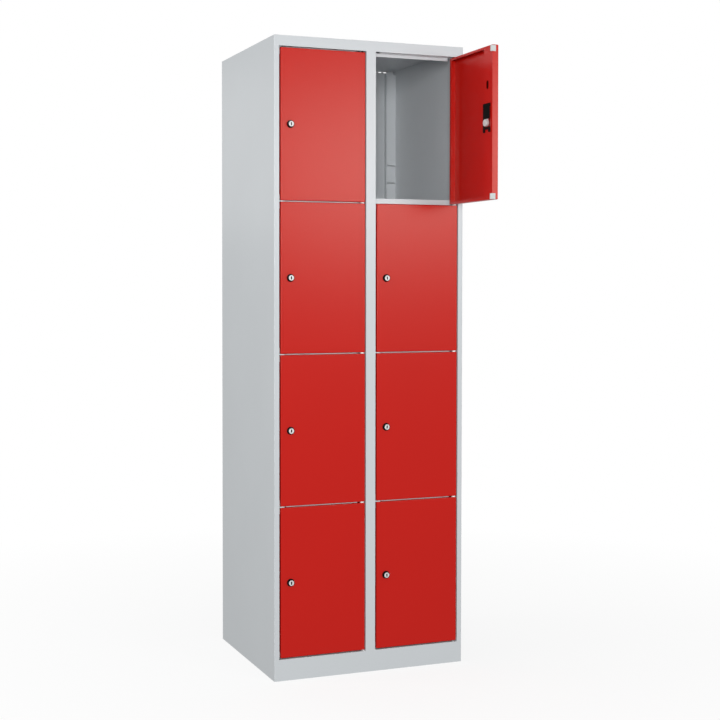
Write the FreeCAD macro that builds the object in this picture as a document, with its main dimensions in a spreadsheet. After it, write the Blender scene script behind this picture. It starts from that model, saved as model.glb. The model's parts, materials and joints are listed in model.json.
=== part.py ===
"""Free-standing steel compartment locker: two columns of four compartments with hinged, lockable doors.

Frame: millimetres, +Z up. The origin is on the floor, at mid-width, in the plane of the front.
+Y runs from the front to the back and +X to the right of someone who faces the doors.
The top right door stands open and the other doors are closed. Every lock is turned to unlocked.
"""
import FreeCAD, Part
import operator
import os
from collections import namedtuple
from types import SimpleNamespace

import Sketcher
from FreeCAD import Placement, Rotation, Vector

# Driving sizes in millimetres, and angles in degrees.
DRIVING_SIZES = {
    # carcass
    "carcass_width": 600.0,
    "carcass_depth": 500.0,
    "carcass_height": 1850.0,
    "sheet_gauge": 1.0,
    "outer_stile_width": 15.0,
    "centre_stile_width": 30.0,
    "stile_return": 17.5,
    "top_rail_height": 30.0,
    "plinth_height": 62.0,
    "plinth_foot_flange": 20.0,
    "plinth_ledge": 30.0,
    "ledge_relief": 5.0,
    "rail_relief": 17.0,
    "rear_flange": 15.0,
    "rear_post_width": 33.0,
    "rear_post_depth": 17.0,
    "rear_post_below_roof": 11.0,
    "post_slit_height": 3.0,
    "post_slit_margin": 2.5,
    "post_slit_low": 84.0,
    "post_slit_high": 141.0,
    "vent_length": 10.5,
    "vent_height": 3.0,
    "vent_pitch": 18.0,
    "vent_below_roof": 3.0,
    "vent_from_side": 33.0,
    # shelves, floors and stops
    "shelf_rise": 15.0,
    "shelf_setback": 24.5,
    "tongue_setback": 6.0,
    "hem_depth": 3.0,
    "hem_play": 1.0,
    "lug_length": 17.0,
    "lug_setback": 2.0,
    "lug_play": 0.5,
    "lug_notch": 6.0,
    "stop_drop": 10.0,
    "stop_ledge": 8.0,
    "foot_diameter": 30.0,
    "foot_height": 6.0,
    "foot_stud_diameter": 8.0,
    "foot_side_inset": 30.0,
    "foot_end_inset": 45.0,
    # doors
    "door_thickness": 19.0,
    "door_gap": 4.0,
    "lock_side_gap": 4.5,
    "hinge_side_gap": 3.0,
    "lock_side_flange": 51.0,
    "hinge_side_lip": 9.0,
    "door_lip": 7.0,
    "flange_slot_length": 24.5,
    "flange_slot_width": 13.0,
    "flange_slot_above_lock": 108.0,
    "open_angle": 90.0,
    # pivots
    "pivot_inset": 7.0,
    "pivot_setback": 7.0,
    "pin_diameter": 5.0,
    "pin_reach": 5.0,
    "bearing_diameter": 11.0,
    "bearing_neck": 7.0,
    "bearing_head": 1.5,
    "bearing_play": 0.3,
    "bearing_tab_width": 8.0,
    "bearing_wall": 2.0,
    "bearing_side_room": 9.5,
    "bearing_rear_room": 1.5,
    "running_clearance": 0.1,
    # locks
    "lock_inset": 30.0,
    "rosette_diameter": 22.5,
    "rosette_proud": 1.5,
    "rosette_edge_radius": 0.8,
    "sleeve_diameter": 18.6,
    "sleeve_proud": 7.4,
    "barrel_diameter": 20.0,
    "plug_head_diameter": 15.4,
    "plug_head_length": 6.0,
    "plug_proud": 8.0,
    "plug_shaft_diameter": 12.0,
    "key_slot_width": 3.8,
    "key_slot_height": 8.6,
    "key_slot_depth": 8.0,
    "cover_width": 38.0,
    "cover_above": 55.0,
    "cover_below": 18.0,
    "cover_leg_length": 8.5,
    "cover_leg_width": 7.5,
    "cover_rim": 2.5,
    "cover_thickness": 3.6,
    "bolt_gap": 0.3,
    "bolt_thickness": 2.0,
    "bolt_length": 44.0,
    "bolt_width": 12.0,
    "bolt_side_room": 1.5,
    "hub_diameter": 20.0,
    "hub_height": 9.0,
    "hub_edge_radius": 1.0,
    # corner buffers on the doors
    "buffer_height": 16.5,
    "buffer_top_inset": 2.4,
    "buffer_bottom_inset": 0.5,
    "buffer_edge_cover": 10.0,
    "buffer_wrap": 1.0,
    "buffer_width": 6.0,
    "buffer_proud": 5.0,
    "buffer_edge_radius": 2.0,
}
ROWS = 4
VENTS_PER_COLUMN = 12
BEND_RATIO = 2.0  # outer bend radius as a multiple of the sheet gauge
ROOF_EDGE_RATIO = 0.7  # rounding of the roof's top edges, as a share of the sheet gauge
COLUMNS = {"left": -1, "right": 1}
OPEN_DOOR = ("right", 1)
PLANE_FACING = {"XY_Plane": 1, "XZ_Plane": -1, "YZ_Plane": 1}
TOUCH = 0.001  # how near an edge lies to a plane to count as on it

Circle = namedtuple("Circle", "x y diameter")


class Size:
    """A dimension that carries its value and the sheet formula that gives it."""

    def __init__(self, value, formula):
        self.value = value
        self.formula = formula

    def combine(self, other, sign, rule):
        other = as_size(other)
        return Size(rule(self.value, other.value), f"({self.formula} {sign} {other.formula})")

    def __add__(self, other):
        return self.combine(other, "+", operator.add)

    def __sub__(self, other):
        return self.combine(other, "-", operator.sub)

    def __mul__(self, other):
        return self.combine(other, "*", operator.mul)

    def __truediv__(self, other):
        return self.combine(other, "/", operator.truediv)

    def __radd__(self, other):
        return as_size(other) + self

    def __rsub__(self, other):
        return as_size(other) - self

    def __rmul__(self, other):
        return as_size(other) * self

    def __neg__(self):
        return as_size(0) - self


def as_size(number):
    """A plain number as a Size."""
    if isinstance(number, Size):
        return number
    return Size(float(number), f"({float(number)})")


doc = FreeCAD.newDocument("locker")
sheet = doc.addObject("Spreadsheet::Sheet", "Sizes")
for line, (name, value) in enumerate(DRIVING_SIZES.items(), start=1):
    sheet.set(f"A{line}", name)
    sheet.set(f"B{line}", str(value))
    sheet.setAlias(f"B{line}", name)
doc.recompute()
s = SimpleNamespace(**{name: Size(value, f"Sizes.{name}") for name, value in DRIVING_SIZES.items()})

# Sizes that follow from the driving ones
gauge = s.sheet_gauge
half_width = s.carcass_width / 2
wall_face = half_width - gauge
half_stile = s.centre_stile_width / 2
opening_edge = half_width - s.outer_stile_width
web_face = gauge / 2
roof_underside = s.carcass_height - gauge
rail_underside = s.carcass_height - s.top_rail_height
rail_flange_depth = s.shelf_setback + gauge
back_face = s.carcass_depth - 2 * gauge
post_front = back_face - s.rear_post_depth
post_inside = wall_face - s.rear_post_width
bend_radius = BEND_RATIO * gauge
door_width = opening_edge - half_stile - s.lock_side_gap - s.hinge_side_gap
door_height = (rail_underside - s.plinth_height - (ROWS + 1) * s.door_gap) / ROWS
pivot_x = {
    "left": -(half_stile + s.hinge_side_gap + s.pivot_inset),
    "right": opening_edge - s.hinge_side_gap - s.pivot_inset,
}
neck_room = s.bearing_neck + 2 * s.running_clearance
pin_room = s.pin_diameter + 2 * s.running_clearance
opening_ends = {"left": (-opening_edge, -half_stile), "right": (half_stile, opening_edge)}
hinge_notch = {column: x - s.bearing_diameter / 2 - s.bearing_side_room for column, x in pivot_x.items()}
notch_back = s.pivot_setback + s.bearing_diameter / 2 + s.bearing_rear_room
tab_front = s.pivot_setback - s.bearing_diameter / 2 + s.bearing_wall
half_tab = s.bearing_tab_width / 2

# Places on a door, measured from its pivot axis at mid-height
hinge_edge = s.pivot_inset
lock_edge = s.pivot_inset - door_width
door_front = -s.pivot_setback
door_rear = s.door_thickness - s.pivot_setback
half_door = door_height / 2
lock_x = lock_edge + s.lock_inset
bolt_front = door_rear + s.bolt_gap


def gap_centre(index):
    """Height of the middle of a gap between doors, from 0 at the plinth to ROWS at the top rail."""
    return s.plinth_height + s.door_gap / 2 + index * (door_height + s.door_gap)


def bind(item, path, amount):
    """Set a property and keep it tied to the sheet."""
    item.setExpression(path, as_size(amount).formula)


def new_body(name):
    body = doc.addObject("PartDesign::Body", name)
    body.Label = name
    return body


def place(item, x=0, y=0, z=0, turn=None):
    """Put a piece at a point, turned about the vertical."""
    if turn is not None:
        item.Placement = Placement(Vector(), Rotation(Vector(0, 0, 1), turn.value))
        bind(item, "Placement.Rotation.Angle", turn)
    bind(item, "Placement.Base.x", x)
    bind(item, "Placement.Base.y", y)
    bind(item, "Placement.Base.z", z)


def origin_feature(body, role):
    return next(feature for feature in body.Origin.OriginFeatures if feature.Role == role)


def rectangle(x_low, x_high, y_low, y_high):
    return [(x_low, y_low), (x_high, y_low), (x_high, y_high), (x_low, y_high)]


def add_tied(sketch, constraint, amount):
    """Add a dimension to a sketch and tie it to the sheet."""
    index = sketch.addConstraint(constraint)
    bind(sketch, f"Constraints[{index}]", amount)


def draw_outline(sketch, corners):
    """A closed outline of straight lines whose corners are tied to the sheet."""
    corners = [(as_size(x), as_size(y)) for x, y in corners]
    points = [Vector(x.value, y.value, 0) for x, y in corners]
    following = points[1:] + points[:1]
    first = sketch.GeometryCount
    sketch.addGeometry([Part.LineSegment(a, b) for a, b in zip(points, following)], False)
    count = len(points)
    for i, (x, y) in enumerate(corners):
        sketch.addConstraint(Sketcher.Constraint("Coincident", first + i, 2, first + (i + 1) % count, 1))
        add_tied(sketch, Sketcher.Constraint("DistanceX", -1, 1, first + i, 1, x.value), x)
        add_tied(sketch, Sketcher.Constraint("DistanceY", -1, 1, first + i, 1, y.value), y)


def draw_circle(sketch, circle):
    """A circle whose centre and diameter are tied to the sheet."""
    x, y, diameter = (as_size(amount) for amount in circle)
    centre = Vector(x.value, y.value, 0)
    index = sketch.addGeometry(Part.Circle(centre, Vector(0, 0, 1), diameter.value / 2), False)
    add_tied(sketch, Sketcher.Constraint("DistanceX", -1, 1, index, 3, x.value), x)
    add_tied(sketch, Sketcher.Constraint("DistanceY", -1, 1, index, 3, y.value), y)
    add_tied(sketch, Sketcher.Constraint("Diameter", index, diameter.value), diameter)


def draw(body, name, plane, level, shapes):
    """A sketch on one of the body's planes, raised to a level along that plane's axis."""
    sketch = body.newObject("Sketcher::SketchObject", f"{name}_sketch")
    sketch.AttachmentSupport = (origin_feature(body, plane), [""])
    sketch.MapMode = "FlatFace"
    bind(sketch, "AttachmentOffset.Base.z", PLANE_FACING[plane] * level)
    for shape in shapes:
        if isinstance(shape, Circle):
            draw_circle(sketch, shape)
        else:
            draw_outline(sketch, shape)
    return sketch


def pad(body, name, plane, level, length, *shapes):
    """Material from a level towards the positive axis."""
    feature = body.newObject("PartDesign::Pad", name)
    feature.Profile = draw(body, name, plane, level, shapes)
    bind(feature, "Length", length)
    feature.Reversed = PLANE_FACING[plane] < 0
    return feature


def cut(body, name, plane, level, length, *shapes):
    """A pocket from a level towards the positive axis."""
    feature = body.newObject("PartDesign::Pocket", name)
    feature.Profile = draw(body, name, plane, level, shapes)
    bind(feature, "Length", length)
    feature.Reversed = PLANE_FACING[plane] > 0
    return feature


def turned(body, name, corners):
    """A solid turned about the body's upright axis from an outline of (radius, height) corners."""
    feature = body.newObject("PartDesign::Revolution", name)
    feature.Profile = draw(body, name, "XZ_Plane", as_size(0), [corners])
    feature.ReferenceAxis = (origin_feature(body, "Z_Axis"), [""])
    feature.Angle = 360.0
    return feature


def round_edges(body, base, name, radius, chosen):
    """Round the edges of a feature that a test picks out."""
    doc.recompute()
    edges = [f"Edge{i}" for i, edge in enumerate(base.Shape.Edges, start=1) if chosen(edge)]
    fillet = body.newObject("PartDesign::Fillet", name)
    fillet.Base = (base, edges)
    bind(fillet, "Radius", radius)
    return fillet


def upright_at(*places):
    """A test for upright edges at the given points of the plan."""
    corners = [(x.value, as_size(y).value) for x, y in places]

    def chosen(edge):
        ends = [vertex.Point for vertex in edge.Vertexes]
        return len(ends) == 2 and any(
            all(abs(end.x - x) < TOUCH and abs(end.y - y) < TOUCH for end in ends) for x, y in corners
        )

    return chosen


def touches_y(y):
    """A test for edges with an end on a plane square to Y."""
    return lambda edge: any(abs(vertex.Point.y - y.value) < TOUCH for vertex in edge.Vertexes)


def group(name, members):
    """Several separate solids that share one name."""
    compound = doc.addObject("Part::Compound", name)
    compound.Label = name
    compound.Links = members
    return compound


def side_panel(name, side):
    """Outer wall folded into the front stile and the rear flange."""
    body = new_body(name)
    outer, inner, stile = side * half_width, side * wall_face, side * opening_edge
    stile_back = side * (opening_edge + gauge)
    flange = side * (half_width - s.rear_flange)
    depth, flange_front = s.carcass_depth, s.carcass_depth - gauge
    fold = [
        (outer, 0), (outer, depth), (flange, depth), (flange, flange_front), (inner, flange_front),
        (inner, gauge), (stile_back, gauge), (stile_back, s.stile_return),
        (stile, s.stile_return), (stile, 0),
    ]
    wall = pad(body, f"{name}_wall", "XY_Plane", as_size(0), roof_underside, fold)
    bends = round_edges(body, wall, f"{name}_bends", bend_radius, upright_at((outer, 0), (outer, depth)))
    inner_bends = upright_at((inner, gauge), (inner, flange_front))
    round_edges(body, bends, f"{name}_inner_bends", bend_radius - gauge, inner_bends)
    return body


def rear_post(name, side):
    """Angle post in a rear corner, slit above each shelf."""
    body = new_body(name)
    inner, post_face, post_web = side * wall_face, side * post_inside, side * (post_inside + gauge)
    post = [
        (inner, post_front), (post_face, post_front), (post_face, back_face), (post_web, back_face),
        (post_web, post_front + gauge), (inner, post_front + gauge),
    ]
    post_height = roof_underside - s.rear_post_below_roof
    pad(body, f"{name}_angle", "XY_Plane", as_size(0), post_height, post)
    slit_ends = side * (post_inside + s.post_slit_margin), side * (wall_face - s.post_slit_margin)
    slits = []
    for index in range(ROWS):
        for rise in (s.post_slit_low, s.post_slit_high):
            low = gap_centre(index) + s.shelf_rise + rise - s.post_slit_height / 2
            slits.append(rectangle(*slit_ends, low, low + s.post_slit_height))
    cut(body, f"{name}_slits", "XZ_Plane", post_front, gauge, *slits)
    return body


def centre_partition():
    """Wall between the columns, with the hat-shaped centre stile at its front."""
    name = "centre_partition"
    body = new_body(name)
    lip = half_stile - gauge
    right_half = [
        (half_stile, 0), (half_stile, s.stile_return), (lip, s.stile_return), (lip, gauge),
        (web_face, gauge), (web_face, back_face),
    ]
    left_half = [(-x, y) for x, y in reversed(right_half)]
    height = rail_underside - s.plinth_height
    pad(body, f"{name}_hat", "XY_Plane", s.plinth_height, height, right_half + left_half)
    top = rectangle(-web_face, web_face, rail_flange_depth, back_face)
    pad(body, f"{name}_top", "XY_Plane", rail_underside, roof_underside - rail_underside, top)
    return body


def roof_panel():
    """Roof sheet with the top rail folded to a box at its front, relieved at the ends of each opening."""
    name = "roof_panel"
    body = new_body(name)
    plan = rectangle(-half_width, half_width, as_size(0), s.carcass_depth)
    top = pad(body, f"{name}_top", "XY_Plane", roof_underside, gauge, plan)
    corners = [(side * half_width, y) for side in COLUMNS.values() for y in (0, s.carcass_depth)]
    rounded = round_edges(body, top, f"{name}_corners", bend_radius, upright_at(*corners))
    height = s.carcass_height.value

    def on_top(edge):
        return all(abs(vertex.Point.z - height) < TOUCH for vertex in edge.Vertexes)

    round_edges(body, rounded, f"{name}_edge", ROOF_EDGE_RATIO * gauge, on_top)
    lip_front = rail_flange_depth - gauge
    rail = [
        (0, rail_underside), (rail_flange_depth, rail_underside), (rail_flange_depth, roof_underside),
        (lip_front, roof_underside), (lip_front, rail_underside + gauge), (gauge, rail_underside + gauge),
        (gauge, roof_underside), (0, roof_underside),
    ]
    pad(body, f"{name}_rail", "YZ_Plane", -opening_edge, 2 * opening_edge, rail)
    seats = [Circle(x, s.pivot_setback, neck_room) for x in pivot_x.values()]
    reliefs = []
    for column, (lock_end, hinge_end) in opening_ends.items():
        tab_low = pivot_x[column] - s.bearing_diameter / 2
        tab_high = pivot_x[column] + s.bearing_diameter / 2
        notch = hinge_notch[column]
        reliefs.append(rectangle(lock_end, lock_end + s.rail_relief, gauge, lip_front))
        reliefs.append([
            (notch, gauge), (tab_low, gauge), (tab_low, notch_back), (tab_high, notch_back),
            (tab_high, gauge), (hinge_end, gauge), (hinge_end, lip_front), (notch, lip_front),
        ])
    cut(body, f"{name}_seats", "XY_Plane", rail_underside, gauge, *seats, *reliefs)
    return body


def plinth_front():
    """Flush front plinth, with a ledge on top and a foot flange on the floor."""
    name = "plinth_front"
    body = new_body(name)
    top = s.plinth_height
    fold = [
        (0, 0), (s.plinth_foot_flange, 0), (s.plinth_foot_flange, gauge), (gauge, gauge),
        (gauge, top - gauge), (s.plinth_ledge, top - gauge), (s.plinth_ledge, top), (0, top),
    ]
    pad(body, f"{name}_fold", "YZ_Plane", -opening_edge, 2 * opening_edge, fold)
    seats = [Circle(x, s.pivot_setback, neck_room) for x in pivot_x.values()]
    reliefs = []
    for lock_end, hinge_end in opening_ends.values():
        reliefs.append(rectangle(lock_end, lock_end + s.ledge_relief, gauge, s.stile_return))
        reliefs.append(rectangle(hinge_end - s.ledge_relief, hinge_end, gauge, s.stile_return))
    cut(body, f"{name}_seats", "XY_Plane", top - gauge, gauge, *seats, *reliefs)
    return body


def back_panel():
    """Flat back, lapped inside the rear flanges, with a row of vents under the roof for each column."""
    name = "back_panel"
    body = new_body(name)
    edge = wall_face - (bend_radius - gauge)
    panel = rectangle(-edge, edge, as_size(0), roof_underside)
    pad(body, f"{name}_sheet", "XZ_Plane", back_face, gauge, panel)
    vent_middle = roof_underside - s.vent_below_roof
    for column, side in COLUMNS.items():
        vents = []
        for index in range(VENTS_PER_COLUMN):
            middle = half_width - s.vent_from_side - index * s.vent_pitch
            ends = side * (middle - s.vent_length / 2), side * (middle + s.vent_length / 2)
            low, high = vent_middle - s.vent_height / 2, vent_middle + s.vent_height / 2
            vents.append(rectangle(*ends, low, high))
        cut(body, f"{name}_vents_{column}", "XZ_Plane", back_face, gauge, *vents)
    return body


def shelf_plate(body, name, side, top, riser_foot):
    """Flat shelf notched round the rear post, with a riser at its front."""
    web, wall, post = side * web_face, side * wall_face, side * post_inside
    plan = [
        (web, s.shelf_setback), (wall, s.shelf_setback), (wall, post_front),
        (post, post_front), (post, back_face), (web, back_face),
    ]
    pad(body, f"{name}_plate", "XY_Plane", top - gauge, gauge, plan)
    riser = rectangle(web, wall, riser_foot, top)
    pad(body, f"{name}_riser", "XZ_Plane", s.shelf_setback, gauge, riser)


def shelf(name, column, index):
    """Shelf folded down to a tongue between two doors: a lug, a hem, and a tab for the hinge bearing."""
    body = new_body(name)
    side = COLUMNS[column]
    low = gap_centre(index) - gauge / 2
    shelf_plate(body, name, side, gap_centre(index) + s.shelf_rise, low)
    back = s.shelf_setback + gauge
    left, right = opening_ends[column]
    front, notch = s.tongue_setback, hinge_notch[column]
    hem_back = front + s.hem_depth
    lug_end = left + s.lug_length
    hem_start = lug_end + s.lug_notch
    tab_low, tab_high = pivot_x[column] - half_tab, pivot_x[column] + half_tab
    tongue = [
        (left, s.lug_setback), (lug_end, s.lug_setback), (lug_end, hem_back), (hem_start, hem_back),
        (hem_start, front), (notch, front), (notch, notch_back), (tab_low, notch_back), (tab_low, tab_front),
        (tab_high, tab_front), (tab_high, notch_back), (right, notch_back), (right, back), (left, back),
    ]
    pin_hole = Circle(pivot_x[column], s.pivot_setback, pin_room)
    pad(body, f"{name}_tongue", "XY_Plane", low, gauge, tongue, pin_hole)
    hem_height, lug_height = s.door_gap - 2 * s.hem_play, s.door_gap - 2 * s.lug_play
    hem = rectangle(hem_start, notch, front, hem_back)
    pad(body, f"{name}_hem", "XY_Plane", gap_centre(index) - hem_height / 2, hem_height, hem)
    lug = rectangle(left, lug_end, s.lug_setback, hem_back)
    pad(body, f"{name}_lug", "XY_Plane", gap_centre(index) - lug_height / 2, lug_height, lug)
    return body


def floor_panel(name, column):
    """Floor of the lowest compartment, standing on the plinth's ledge."""
    body = new_body(name)
    shelf_plate(body, name, COLUMNS[column], gap_centre(0) + s.shelf_rise, s.plinth_height)
    return body


def stop_strips():
    """Angle strips under the top rail that the top doors close against."""
    strips = []
    face, back = s.shelf_setback, s.shelf_setback + gauge
    ledge = rectangle(face - s.stop_ledge, face, rail_underside - gauge, rail_underside)
    drop = rectangle(face, back, rail_underside - s.stop_drop, rail_underside)
    for column, wall in (("left", -wall_face), ("right", web_face)):
        name = f"stop_strip_{column}"
        body = new_body(name)
        ledge_start = opening_ends[column][0] + s.rail_relief
        pad(body, f"{name}_drop", "YZ_Plane", wall, hinge_notch[column] - wall, drop)
        pad(body, f"{name}_ledge", "YZ_Plane", ledge_start, hinge_notch[column] - ledge_start, ledge)
        strips.append(body)
    return group("top_stop_strips", strips)


def levelling_feet():
    """Screw feet under the floor panels, level with the plinth's foot flange."""
    feet = []
    stud_top = gap_centre(0) + s.shelf_rise - gauge
    pad_radius, stud_radius = s.foot_diameter / 2, s.foot_stud_diameter / 2
    profile = [
        (0, 0), (pad_radius, 0), (pad_radius, s.foot_height), (stud_radius, s.foot_height),
        (stud_radius, stud_top), (0, stud_top),
    ]
    for column, side in COLUMNS.items():
        for end, y in (("front", s.foot_end_inset), ("rear", s.carcass_depth - s.foot_end_inset)):
            name = f"levelling_foot_{column}_{end}"
            body = new_body(name)
            turned(body, f"{name}_turned", profile)
            place(body, side * (half_width - s.foot_side_inset), y)
            feet.append(body)
    return group("levelling_feet", feet)


def bearing(name, column, index):
    """Plastic bearing for a hinge pin: a clip on the tongue's tab, or a bush in the rail or the plinth."""
    body = new_body(name)
    middle = gap_centre(index)
    if index in (0, ROWS):
        bore, neck, flange = pin_room / 2, s.bearing_neck / 2, s.bearing_diameter / 2
        face, inside, head = rail_underside, rail_underside + gauge, s.bearing_head
        if index == 0:
            face, inside, head = s.plinth_height, s.plinth_height - gauge, -s.bearing_head
        bush = [
            (bore, face), (neck, face), (neck, inside),
            (flange, inside), (flange, inside + head), (bore, inside + head),
        ]
        turned(body, f"{name}_turned", bush)
    else:
        low, height = middle - s.door_gap / 2 + s.bearing_play, s.door_gap - 2 * s.bearing_play
        ring = Circle(0, 0, s.bearing_diameter), Circle(0, 0, pin_room)
        pad(body, f"{name}_ring", "XY_Plane", low, height, *ring)
        slot = rectangle(-half_tab, half_tab, tab_front - s.pivot_setback, s.bearing_diameter / 2)
        cut(body, f"{name}_slot", "XY_Plane", middle - gauge / 2, gauge, slot)
    place(body, pivot_x[column], s.pivot_setback)
    return body


def hinge_pin(name, column, index):
    """Pin through a bearing, reaching into the doors above and below it."""
    pin = doc.addObject("Part::Cylinder", name)
    pin.Label = name
    reach = s.door_gap / 2 + s.pin_reach
    bind(pin, "Radius", s.pin_diameter / 2)
    bind(pin, "Height", 2 * reach)
    place(pin, pivot_x[column], s.pivot_setback, gap_centre(index) - reach)
    return pin


def door_panel(name):
    """Door pan: face sheet and four edges, closed to a box on the lock side and with lips on the others."""
    body = new_body(name)
    face = rectangle(lock_edge, hinge_edge, -half_door, half_door)
    slab = pad(body, f"{name}_slab", "XZ_Plane", door_front, s.door_thickness, face)
    round_edges(body, slab, f"{name}_bends", bend_radius, touches_y(door_front))
    box_end, inside_top = lock_edge + s.lock_side_flange, half_door - gauge
    box = rectangle(lock_edge + gauge, box_end - gauge, -inside_top, inside_top)
    pan = rectangle(box_end, hinge_edge - gauge, -inside_top, inside_top)
    cut(body, f"{name}_inside", "XZ_Plane", door_front + gauge, s.door_thickness - 2 * gauge, box, pan)
    lip = half_door - s.door_lip
    mouth = rectangle(box_end, hinge_edge - s.hinge_side_lip, -lip, lip)
    slot_reach = (s.flange_slot_length - s.flange_slot_width) / 2
    slot_low, slot_high = s.flange_slot_above_lock - slot_reach, s.flange_slot_above_lock + slot_reach
    slot_half = s.flange_slot_width / 2
    slot = rectangle(lock_x - slot_half, lock_x + slot_half, slot_low, slot_high)
    cut(body, f"{name}_openings", "XZ_Plane", door_rear - gauge, gauge, mouth, slot)
    slot_ends = [Circle(lock_x, z, s.flange_slot_width) for z in (slot_low, slot_high)]
    cut(body, f"{name}_slot_ends", "XZ_Plane", door_rear - gauge, gauge, *slot_ends)
    lock_hole = Circle(lock_x, 0, s.barrel_diameter + 2 * s.running_clearance)
    cut(body, f"{name}_lock_hole", "XZ_Plane", door_front, s.door_thickness, lock_hole)
    pivot_hole = Circle(0, 0, s.pin_diameter + 2 * s.running_clearance)
    cut(body, f"{name}_pivot_holes", "XY_Plane", -half_door, door_height, pivot_hole)
    return body


def lock_barrel(name):
    """Rosette and sleeve on the door's face and the barrel behind them, bored for the plug."""
    body = new_body(name)
    rosette_face, face = door_front - s.rosette_proud, door_front - s.sleeve_proud
    disc = Circle(lock_x, 0, s.rosette_diameter)
    rosette = pad(body, f"{name}_rosette", "XZ_Plane", rosette_face, s.rosette_proud, disc)
    round_edges(body, rosette, f"{name}_edge", s.rosette_edge_radius, touches_y(rosette_face))
    sleeve = Circle(lock_x, 0, s.sleeve_diameter)
    pad(body, f"{name}_sleeve", "XZ_Plane", face, s.sleeve_proud - s.rosette_proud, sleeve)
    barrel = Circle(lock_x, 0, s.barrel_diameter)
    pad(body, f"{name}_barrel", "XZ_Plane", door_front, s.door_thickness, barrel)
    shaft_room = Circle(lock_x, 0, s.plug_shaft_diameter + 2 * s.running_clearance)
    cut(body, f"{name}_bore", "XZ_Plane", face, s.sleeve_proud + s.door_thickness, shaft_room)
    head_room = Circle(lock_x, 0, s.plug_head_diameter + 2 * s.running_clearance)
    seat_depth = s.sleeve_proud - s.plug_proud + s.plug_head_length + s.bearing_play
    cut(body, f"{name}_seat", "XZ_Plane", face, seat_depth, head_room)
    return body


def lock_cover(name):
    """Cover on the inside flange over the raised bolt, open towards the door's edge and round the hub."""
    body = new_body(name)
    left, right = lock_x - s.cover_width / 2, lock_x + s.cover_width / 2
    foot = -(s.cover_below + s.cover_leg_length)
    shape = [
        (left, s.cover_above), (left, foot), (left + s.cover_leg_width, foot),
        (left + s.cover_leg_width, -s.cover_below), (right - s.cover_leg_width, -s.cover_below),
        (right - s.cover_leg_width, foot), (right, foot), (right, s.cover_above),
    ]
    pad(body, f"{name}_block", "XZ_Plane", door_rear, s.cover_thickness, shape)
    side_room = s.bolt_width / 2 + s.bolt_side_room
    swing = s.bolt_length + s.bolt_side_room
    room_depth = s.bolt_thickness + 2 * s.bolt_gap
    hub_room = s.hub_diameter / 2 + s.bolt_side_room
    room = rectangle(left, lock_x + side_room, -hub_room, swing)
    cut(body, f"{name}_room", "XZ_Plane", door_rear, room_depth, room)
    pocket = rectangle(left + s.cover_rim, lock_x + hub_room, -hub_room, hub_room)
    cut(body, f"{name}_pocket", "XZ_Plane", door_rear, s.cover_thickness, pocket)
    return body


def lock_plug(name):
    """Key plug: slotted head in the sleeve and a shaft through the barrel to the bolt."""
    body = new_body(name)
    face = door_front - s.plug_proud
    head = Circle(lock_x, 0, s.plug_head_diameter)
    pad(body, f"{name}_head", "XZ_Plane", face, s.plug_head_length, head)
    shaft = Circle(lock_x, 0, s.plug_shaft_diameter)
    neck = face + s.plug_head_length
    pad(body, f"{name}_shaft", "XZ_Plane", neck, bolt_front - neck, shaft)
    half_slot, half_height = s.key_slot_width / 2, s.key_slot_height / 2
    slot = rectangle(lock_x - half_slot, lock_x + half_slot, -half_height, half_height)
    cut(body, f"{name}_key_slot", "XZ_Plane", face, s.key_slot_depth, slot)
    return body


def lock_bolt(name):
    """Turning bolt: an arm under the cover and the round hub that shows inside the door."""
    body = new_body(name)
    half = s.bolt_width / 2
    arm = rectangle(lock_x - half, lock_x + half, as_size(0), s.bolt_length)
    pad(body, f"{name}_arm", "XZ_Plane", bolt_front, s.bolt_thickness, arm)
    hub_top = door_rear + s.hub_height
    disc = Circle(lock_x, 0, s.hub_diameter)
    hub = pad(body, f"{name}_hub", "XZ_Plane", bolt_front, hub_top - bolt_front, disc)
    round_edges(body, hub, f"{name}_hub_edge", s.hub_edge_radius, touches_y(hub_top))
    return body


def buffer_pad(name, low):
    """Soft pad wrapped round the inner corner of the lock-side edge."""
    body = new_body(name)
    outside, tail = lock_edge - s.buffer_wrap, door_rear - s.buffer_edge_cover
    proud = door_rear + s.buffer_proud
    angle = [
        (outside, tail), (lock_edge, tail), (lock_edge, door_rear), (lock_edge + s.buffer_width, door_rear),
        (lock_edge + s.buffer_width, proud), (outside, proud),
    ]
    block = pad(body, f"{name}_angle", "XY_Plane", low, s.buffer_height, angle)
    rounded = upright_at((outside, proud), (lock_edge + s.buffer_width, proud))
    round_edges(body, block, f"{name}_edges", s.buffer_edge_radius, rounded)
    return body


def door_set(column, row):
    """A door with its lock and buffers, hung on the pivot axis of its compartment."""
    tag = f"{column}_{row}"
    panel = door_panel(f"door_panel_{tag}")
    barrel, cover = lock_barrel(f"lock_barrel_{tag}"), lock_cover(f"lock_cover_{tag}")
    plug, bolt = lock_plug(f"lock_plug_{tag}"), lock_bolt(f"lock_bolt_{tag}")
    top_pad = buffer_pad(f"buffer_top_{tag}", half_door - s.buffer_top_inset - s.buffer_height)
    bottom_pad = buffer_pad(f"buffer_bottom_{tag}", s.buffer_bottom_inset - half_door)
    middle = gap_centre(ROWS - row) + (s.door_gap + door_height) / 2
    turn = s.open_angle if (column, row) == OPEN_DOOR else None
    for item in (panel, barrel, cover, plug, bolt, top_pad, bottom_pad):
        place(item, pivot_x[column], s.pivot_setback, middle, turn)
    housing = group(f"lock_housing_{tag}", [barrel, cover])
    buffers = group(f"door_buffers_{tag}", [top_pad, bottom_pad])
    return [panel, housing, plug, bolt, buffers]


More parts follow.
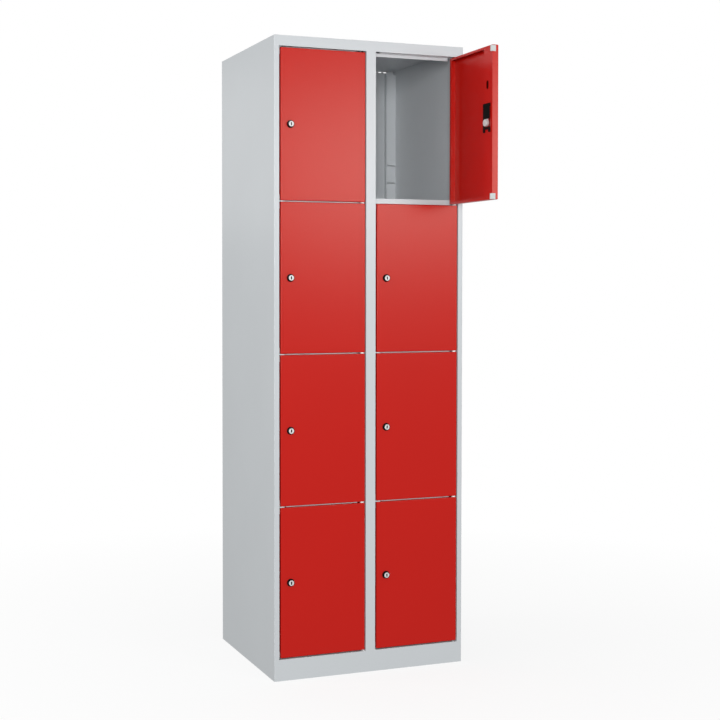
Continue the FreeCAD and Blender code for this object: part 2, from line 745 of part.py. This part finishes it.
pieces = [side_panel(f"{column}_side_panel", side) for column, side in COLUMNS.items()]
posts = [rear_post(f"rear_post_{column}", side) for column, side in COLUMNS.items()]
pieces.append(group("rear_posts", posts))
pieces += [centre_partition(), roof_panel(), plinth_front(), back_panel(), stop_strips(), levelling_feet()]
pivots = [(f"{column}_{index}", column, index) for column in COLUMNS for index in range(ROWS + 1)]
pieces.append(group("pivot_bearings", [bearing(f"bearing_{tag}", column, i) for tag, column, i in pivots]))
pieces.append(group("hinge_pins", [hinge_pin(f"pin_{tag}", column, i) for tag, column, i in pivots]))
for column in COLUMNS:
    pieces.append(floor_panel(f"floor_panel_{column}", column))
    for row in range(1, ROWS):
        pieces.append(shelf(f"shelf_{column}_{row}", column, ROWS - row))
    for row in range(1, ROWS + 1):
        pieces += door_set(column, row)
doc.recompute()

failed = [item.Label for item in doc.Objects if {"Invalid", "Error"} & set(item.State)]
failed += [piece.Label for piece in pieces if piece.Shape.isNull() or not piece.Shape.isValid()]
if failed:
    raise RuntimeError(f"these pieces failed: {failed}")
os.makedirs("parts", exist_ok=True)
for piece in pieces:
    piece.Shape.exportStep(os.path.join("parts", f"{piece.Label}.step"))
    print(piece.Label, len(piece.Shape.Solids), "solid(s)", round(piece.Shape.Volume), "mm3")
print(len(pieces), "pieces")
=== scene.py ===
import json
import math

import bpy
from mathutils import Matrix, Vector

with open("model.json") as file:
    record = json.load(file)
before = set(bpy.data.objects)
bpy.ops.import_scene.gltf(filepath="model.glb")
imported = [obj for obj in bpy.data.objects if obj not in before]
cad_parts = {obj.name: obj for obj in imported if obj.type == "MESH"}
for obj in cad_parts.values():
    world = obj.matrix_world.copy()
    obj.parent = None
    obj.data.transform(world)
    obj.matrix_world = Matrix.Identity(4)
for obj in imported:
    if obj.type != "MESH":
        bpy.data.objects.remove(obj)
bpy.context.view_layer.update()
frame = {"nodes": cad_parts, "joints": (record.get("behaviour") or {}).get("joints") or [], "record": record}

nodes = frame["nodes"]
joints = {joint["name"]: joint for joint in frame["joints"]}

# Noise frequencies, in cells per metre
CLOUD = 5.0  # faint unevenness of a paint's colour
GLOSS_PATCHES = 60.0  # unevenness of a paint's gloss
ORANGE_PEEL = 520.0  # dimples of baked powder
MOULD_PATCHES = 300.0  # unevenness of a moulding's gloss
MOULD_GRAIN = 1400.0  # spark-eroded grain
POLISHING_LINES = (4000.0, 4000.0, 250.0)  # across and along the lines left by polishing
FLOOR_CLOUD = 2.0

# Lengths in metres that tell which faces get painted shade
SHEET = 0.001  # gauge of the folded sheet
LOCK_BOX = 0.051  # width of the closed box on each door's lock side
SLOT_REACH = 0.0054  # from the plug's axis, past the slot's corners
SLOT_DEPTH = 0.009  # from the plug's front, past the slot's floor
PIVOT_REACH = 0.02  # below the top rail, past its bearings and pins

# Floor, in metres
FLOOR_RADIUS = 40.0
FLOOR_SIDES = 96
FLOOR_LEVEL = -0.0005  # just under the feet
FADE_START, FADE_END = 0.3, 2.4  # from the origin, where the floor turns into plain white
WHITE_SHARE = 0.82  # of plain white in the floor before the fade

# Surroundings: brightness from straight below to straight above
FILL_BELOW, FILL_ABOVE = 0.36, 0.50

# Soft boxes: name, place, target, width and height in metres, power in watts
SOFT_BOXES = (
    ("front_left", (-1.86, -4.2, 1.68), (0.1, 0.2, 1.30), 0.75, 1.3, 111.0),
    ("front_right", (1.7, -3.6, 1.83), (0.0, 0.0, 1.4), 1.6, 0.8, 29.4),
    ("left", (-3.6, 0.7, 2.0), (-0.3, 0.25, 1.2), 2.0, 2.0, 42.0),
    ("back_left", (-1.56, 4.06, 1.95), (-0.3, 0.25, 1.5), 1.2, 1.0, 1.8),
)

# Camera: metres, radians and millimetres; the shift is in widths of the picture
CAMERA_PLACE = (-1.5666, -3.5808, 1.1451)
CAMERA_TILT_DOWN = 0.02909
CAMERA_TURN_RIGHT = 0.36014
SENSOR_WIDTH = 36.0
FOCAL_LENGTH = 66.646
SHIFT_X, SHIFT_Y = 0.0818, -0.0528
VIEW_END = 200.0


def new_material(name):
    """A node material, its tree and its Principled shader."""
    material = bpy.data.materials.new(name)
    material.use_nodes = True
    tree = material.node_tree
    shader = next(node for node in tree.nodes if node.type == "BSDF_PRINCIPLED")
    return material, tree, shader


def add(tree, kind, **inputs):
    """A node with some of its inputs set by name."""
    node = tree.nodes.new(kind)
    for name, value in inputs.items():
        node.inputs[name.replace("_", " ")].default_value = value
    return node


def noise(tree, scale, detail=2.0):
    """Noise from 0 to 1 in the object's own metres."""
    place = tree.nodes.new("ShaderNodeTexCoord")
    texture = add(tree, "ShaderNodeTexNoise", Scale=scale, Detail=detail)
    tree.links.new(place.outputs["Object"], texture.inputs["Vector"])
    return texture.outputs["Fac"]


def spread(tree, factor, low, high):
    """A factor from 0 to 1 mapped on to a range."""
    node = add(tree, "ShaderNodeMapRange", To_Min=low, To_Max=high)
    tree.links.new(factor, node.inputs["Value"])
    return node.outputs["Result"]


def blend_colours(tree, factor, first, second):
    """The first colour where the factor is 0, and the second where it is 1."""
    node = tree.nodes.new("ShaderNodeMix")
    node.data_type = "RGBA"
    node.inputs["A"].default_value = (*first, 1.0)
    node.inputs["B"].default_value = (*second, 1.0)
    tree.links.new(factor, node.inputs["Factor"])
    return node.outputs["Result"]


def uneven_colour(tree, shader, factor, colour, low, high):
    """A base colour that goes from low to high times the colour given."""
    dark = tuple(channel * low for channel in colour)
    light = tuple(channel * high for channel in colour)
    tree.links.new(blend_colours(tree, factor, dark, light), shader.inputs["Base Color"])


def uneven_gloss(tree, shader, factor, roughness):
    """A roughness that goes over the range given."""
    tree.links.new(spread(tree, factor, *roughness), shader.inputs["Roughness"])


def bump(tree, shader, height, strength, distance):
    """Fine relief that follows a factor."""
    node = add(tree, "ShaderNodeBump", Strength=strength, Distance=distance)
    tree.links.new(height, node.inputs["Height"])
    tree.links.new(node.outputs["Normal"], shader.inputs["Normal"])


def powder_coat(name, colour, roughness, specular, tint=(1.0, 1.0, 1.0)):
    """Satin powder coat: faint cloudiness in the colour and the fine orange peel of baked powder."""
    material, tree, shader = new_material(name)
    shader.inputs["Specular IOR Level"].default_value = specular
    shader.inputs["Specular Tint"].default_value = (*tint, 1.0)
    uneven_colour(tree, shader, noise(tree, CLOUD, detail=3.0), colour, 0.975, 1.025)
    uneven_gloss(tree, shader, noise(tree, GLOSS_PATCHES), roughness)
    bump(tree, shader, noise(tree, ORANGE_PEEL, detail=1.0), strength=0.012, distance=0.0003)
    return material


def moulded(name, colour, roughness, specular=0.5):
    """Moulded plastic with a fine spark-eroded grain."""
    material, tree, shader = new_material(name)
    shader.inputs["Specular IOR Level"].default_value = specular
    grain = noise(tree, MOULD_GRAIN)
    uneven_colour(tree, shader, grain, colour, 0.92, 1.08)
    uneven_gloss(tree, shader, noise(tree, MOULD_PATCHES), roughness)
    bump(tree, shader, grain, strength=0.12, distance=0.0002)
    return material


def plated(name, colour, roughness, metallic):
    """Plated metal with fine polishing lines."""
    material, tree, shader = new_material(name)
    shader.inputs["Metallic"].default_value = metallic
    place = tree.nodes.new("ShaderNodeTexCoord")
    stretch = add(tree, "ShaderNodeMapping", Scale=POLISHING_LINES)
    texture = add(tree, "ShaderNodeTexNoise", Scale=1.0, Detail=2.0)
    tree.links.new(place.outputs["Object"], stretch.inputs["Vector"])
    tree.links.new(stretch.outputs["Vector"], texture.inputs["Vector"])
    lines = texture.outputs["Fac"]
    uneven_colour(tree, shader, lines, colour, 0.92, 1.06)
    uneven_gloss(tree, shader, lines, roughness)
    bump(tree, shader, lines, strength=0.05, distance=0.00005)
    return material


# The record's finishes
finishes = {
    "carcass_paint": powder_coat("carcass_paint_look", (0.59, 0.62, 0.64), (0.28, 0.29), 0.46),
    "door_paint": powder_coat(
        "door_paint_look", (0.53, 0.006, 0.003), (0.276, 0.286), 0.36, tint=(1.0, 0.93, 0.82)
    ),
    "lock_black": moulded("lock_black_look", (0.007, 0.007, 0.007), (0.45, 0.60), 0.06),
    "lock_metal": plated("lock_metal_look", (0.76, 0.75, 0.75), (0.45, 0.55), 0.4),
    "buffer_plastic": moulded("buffer_plastic_look", (0.58, 0.61, 0.60), (0.50, 0.62)),
    "bearing_plastic": moulded("bearing_plastic_look", (0.94, 0.93, 0.92), (0.40, 0.52)),
    "pin_steel": plated("pin_steel_look", (0.55, 0.55, 0.55), (0.28, 0.42), 1.0),
    "foot_plastic": moulded("foot_plastic_look", (0.02, 0.02, 0.02), (0.50, 0.65)),
}
slot_of = {part["node"]: part["material_slot"] for part in frame["record"]["subparts"]}
for name, node in nodes.items():
    node.data.materials.clear()
    node.data.materials.append(finishes[slot_of[name]])

# Painted shade: near-black materials for faces that lie in shade inside the top rail, at the top pivots,
# inside the lock boxes and in the key slots
rail_hollow_shade = powder_coat("rail_hollow_painted_shade", (0.020, 0.021, 0.022), (0.60, 0.70), 0.1)
rail_pivot_shade = moulded("rail_pivot_painted_shade", (0.012, 0.012, 0.012), (0.50, 0.65), 0.1)
lock_box_shade = powder_coat("lock_box_painted_shade", (0.045, 0.003, 0.002), (0.60, 0.70), 0.1)
slot_shade = moulded("key_slot_painted_shade", (0.010, 0.010, 0.010), (0.60, 0.75))


def line_faces(mesh, material, chosen):
    """Give a second material to the faces whose vertices are all chosen, with one answer for each vertex."""
    mesh.materials.append(material)
    for face in mesh.polygons:
        if all(chosen[i] for i in face.vertices):
            face.material_index = 1


def inside(value, low, high):
    """Whether a value lies between two outer faces of folded sheet, past half the gauge of each."""
    return low + SHEET / 2 < value < high - SHEET / 2


# Inside of the top rail: painted shade, coloured near-black for the shade in the rail's hollow
roof = nodes["roof_panel"].data
underside = min(vertex.co.z for vertex in roof.vertices)
rail_back = max(vertex.co.y for vertex in roof.vertices if vertex.co.z < underside + SHEET / 2)
in_rail = [
    inside(vertex.co.y, 0.0, rail_back) and vertex.co.z > underside + SHEET / 2
    for vertex in roof.vertices
]
line_faces(roof, rail_hollow_shade, in_rail)

# Bearings and pins in the top rail: painted shade, coloured near-black for the shade above the door tops,
# while those in the door gaps stay bright
for name in ("pivot_bearings", "hinge_pins"):
    pivots = nodes[name].data
    line_faces(pivots, rail_pivot_shade, [vertex.co.z > underside - PIVOT_REACH for vertex in pivots.vertices])

# Painted shade inside each door's lock box and inside each key slot: their faces are coloured dark for the
# shade in these hollows
for name in nodes:
    if not name.startswith("door_panel_"):
        continue
    tag = name.removeprefix("door_panel_")
    lock, hinge = joints[f"lock_turn_{tag}"], joints[f"door_hinge_{tag}"]
    centre, axis = Vector(lock["pos_m"]), Vector(lock["axis"])
    to_hinge = Vector(hinge["pos_m"]) - centre
    to_hinge -= axis * to_hinge.dot(axis)
    to_hinge.z = 0.0
    to_hinge.normalize()

    panel = nodes[name].data
    offsets = [vertex.co - centre for vertex in panel.vertices]
    depths = [offset.dot(axis) for offset in offsets]
    reaches = [offset.dot(to_hinge) for offset in offsets]
    heights = [offset.z for offset in offsets]
    rear, front = min(depths), max(depths)
    edge = min(reaches)
    bottom, top = min(heights), max(heights)
    in_box = [
        inside(depth, rear, front) and inside(reach, edge, edge + LOCK_BOX) and inside(height, bottom, top)
        for depth, reach, height in zip(depths, reaches, heights)
    ]
    line_faces(panel, lock_box_shade, in_box)

    # Painted shade: the key slot's faces are coloured near-black for the shade deep in the slot
    plug = nodes[f"lock_plug_{tag}"].data
    offsets = [vertex.co - centre for vertex in plug.vertices]
    depths = [offset.dot(axis) for offset in offsets]
    slot_floor = max(depths) - SLOT_DEPTH
    in_slot = [
        depth > slot_floor and (offset - axis * depth).length < SLOT_REACH
        for offset, depth in zip(offsets, depths)
    ]
    line_faces(plug, slot_shade, in_slot)

# Floor: a wide pale disc that fades into the white of the surroundings
floor_mesh = bpy.data.meshes.new("floor")
angles = [math.tau * i / FLOOR_SIDES for i in range(FLOOR_SIDES)]
rim = [(FLOOR_RADIUS * math.cos(angle), FLOOR_RADIUS * math.sin(angle), FLOOR_LEVEL) for angle in angles]
floor_mesh.from_pydata(rim, [], [tuple(range(FLOOR_SIDES))])
floor = bpy.data.objects.new("floor", floor_mesh)
bpy.context.scene.collection.objects.link(floor)
material, tree, shader = new_material("floor_look")
shader.inputs["Roughness"].default_value = 0.8
shader.inputs["Specular IOR Level"].default_value = 0.0
pale = blend_colours(tree, noise(tree, FLOOR_CLOUD), (0.90, 0.90, 0.90), (0.93, 0.93, 0.93))
tree.links.new(pale, shader.inputs["Base Color"])
place = tree.nodes.new("ShaderNodeTexCoord")
distance = tree.nodes.new("ShaderNodeVectorMath")
distance.operation = "LENGTH"
tree.links.new(place.outputs["Object"], distance.inputs[0])
fade = add(tree, "ShaderNodeMapRange", From_Min=FADE_START, From_Max=FADE_END, To_Min=WHITE_SHARE)
tree.links.new(distance.outputs["Value"], fade.inputs["Value"])
white = add(tree, "ShaderNodeEmission", Color=(1.0, 1.0, 1.0, 1.0), Strength=1.0)
mix = tree.nodes.new("ShaderNodeMixShader")
output = next(node for node in tree.nodes if node.type == "OUTPUT_MATERIAL")
tree.links.new(fade.outputs["Result"], mix.inputs["Fac"])
tree.links.new(shader.outputs["BSDF"], mix.inputs[1])
tree.links.new(white.outputs["Emission"], mix.inputs[2])
tree.links.new(mix.outputs["Shader"], output.inputs["Surface"])
floor_mesh.materials.append(material)
floor.visible_diffuse = False
floor.visible_glossy = False

# Surroundings: a soft fill for the object, plain white behind it
world = bpy.data.worlds.new("studio")
bpy.context.scene.world = world
world.use_nodes = True
sky = world.node_tree
background = next(node for node in sky.nodes if node.type == "BACKGROUND")
background.inputs["Strength"].default_value = 1.0
direction = sky.nodes.new("ShaderNodeTexCoord")
split = sky.nodes.new("ShaderNodeSeparateXYZ")
sky.links.new(direction.outputs["Generated"], split.inputs["Vector"])
rise = add(sky, "ShaderNodeMapRange", From_Min=-1.0, From_Max=1.0, To_Min=FILL_BELOW, To_Max=FILL_ABOVE)
sky.links.new(split.outputs["Z"], rise.inputs["Value"])
seen = sky.nodes.new("ShaderNodeLightPath")
backdrop = sky.nodes.new("ShaderNodeMix")
backdrop.data_type = "FLOAT"
backdrop.inputs["B"].default_value = 1.0
sky.links.new(seen.outputs["Is Camera Ray"], backdrop.inputs["Factor"])
sky.links.new(rise.outputs["Result"], backdrop.inputs["A"])
sky.links.new(backdrop.outputs["Result"], background.inputs["Color"])


def soft_box(name, place, target, width, height, power):
    """An oblong area light turned towards a target."""
    light = bpy.data.lights.new(name, "AREA")
    light.shape = "RECTANGLE"
    light.size = width
    light.size_y = height
    light.energy = power
    box = bpy.data.objects.new(name, light)
    box.location = place
    box.rotation_euler = (Vector(target) - Vector(place)).to_track_quat("-Z", "Y").to_euler()
    bpy.context.scene.collection.objects.link(box)


for box in SOFT_BOXES:
    soft_box(*box)
bpy.context.scene.view_settings.view_transform = "Standard"

# Camera at the photograph's viewing angle
lens = bpy.data.cameras.new("camera")
lens.sensor_width = SENSOR_WIDTH
lens.lens = FOCAL_LENGTH
lens.shift_x = SHIFT_X
lens.shift_y = SHIFT_Y
lens.clip_end = VIEW_END
camera = bpy.data.objects.new("camera", lens)
camera.location = CAMERA_PLACE
camera.rotation_euler = (math.pi / 2 - CAMERA_TILT_DOWN, 0.0, -CAMERA_TURN_RIGHT)
bpy.context.scene.collection.objects.link(camera)
bpy.context.scene.camera = camera
